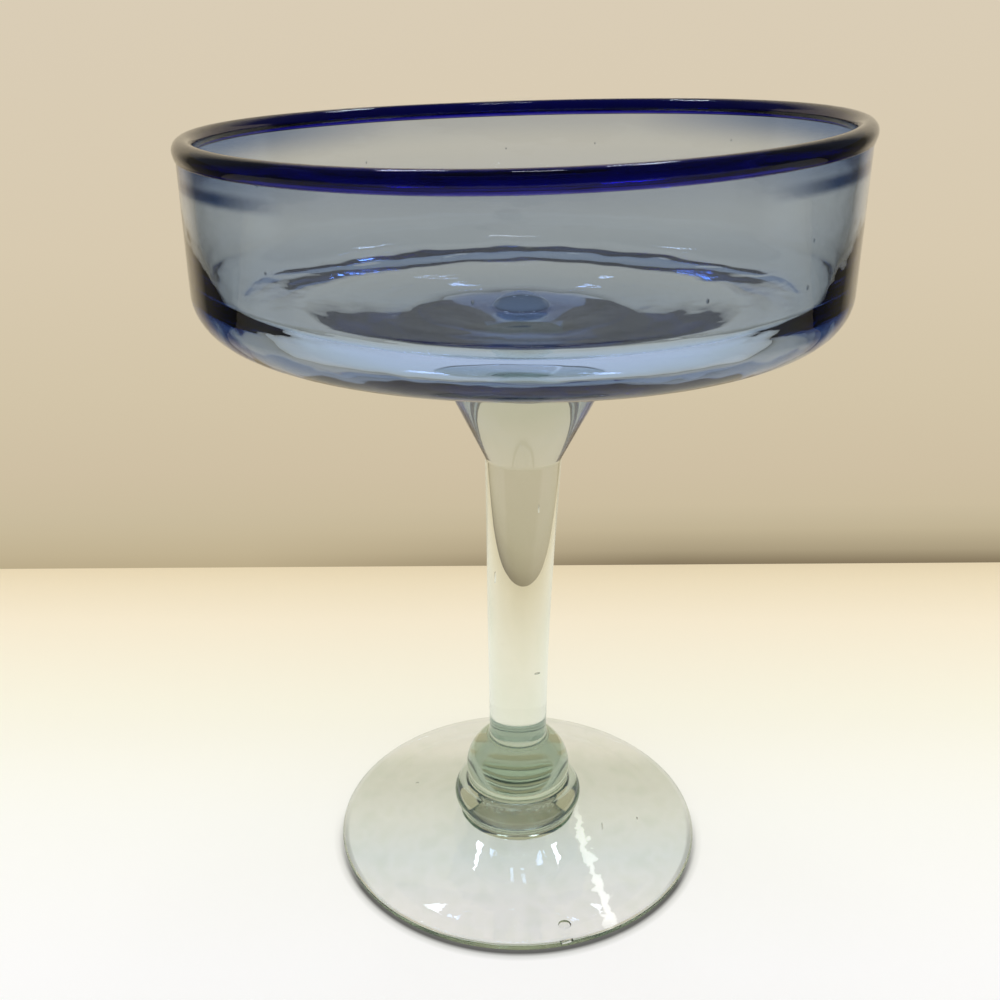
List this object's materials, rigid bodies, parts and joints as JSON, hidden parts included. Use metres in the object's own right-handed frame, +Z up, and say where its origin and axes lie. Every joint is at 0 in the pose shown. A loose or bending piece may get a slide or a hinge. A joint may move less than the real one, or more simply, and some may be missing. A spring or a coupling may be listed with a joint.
{
  "type": "margarita glass",
  "caption": "Hand-blown stemmed glass with a wide straight-sided bowl, a cobalt blue lip, a flared neck, a solid stem, a knop, a merese and a domed foot.",
  "frame": {"origin": "centre of the ring that the foot rests on, at table level", "axes": "+Z up through the stem to the mouth; +X to the right of the picture, towards the high side of the slanted lip; +Y away from the camera"},
  "size_m": [0.1375, 0.1374, 0.1767],
  "materials": {
    "pale_blue_glass": "fire-polished blown soda-lime glass, pale blue, faintly wavy, with a few seeds",
    "cobalt_glass": "fire-polished cobalt glass, nearly opaque",
    "clear_glass": "fire-polished recycled glass, clear with a grey-green cast and a few seeds"
  },
  "bodies": {
    "root": {"bowl": "pale_blue_glass", "lip_wrap": "cobalt_glass", "neck": "clear_glass", "stem": "clear_glass", "knop": "clear_glass", "merese": "clear_glass", "foot": "clear_glass", "pontil_mark": "clear_glass"}
  },
  "joints": []
}
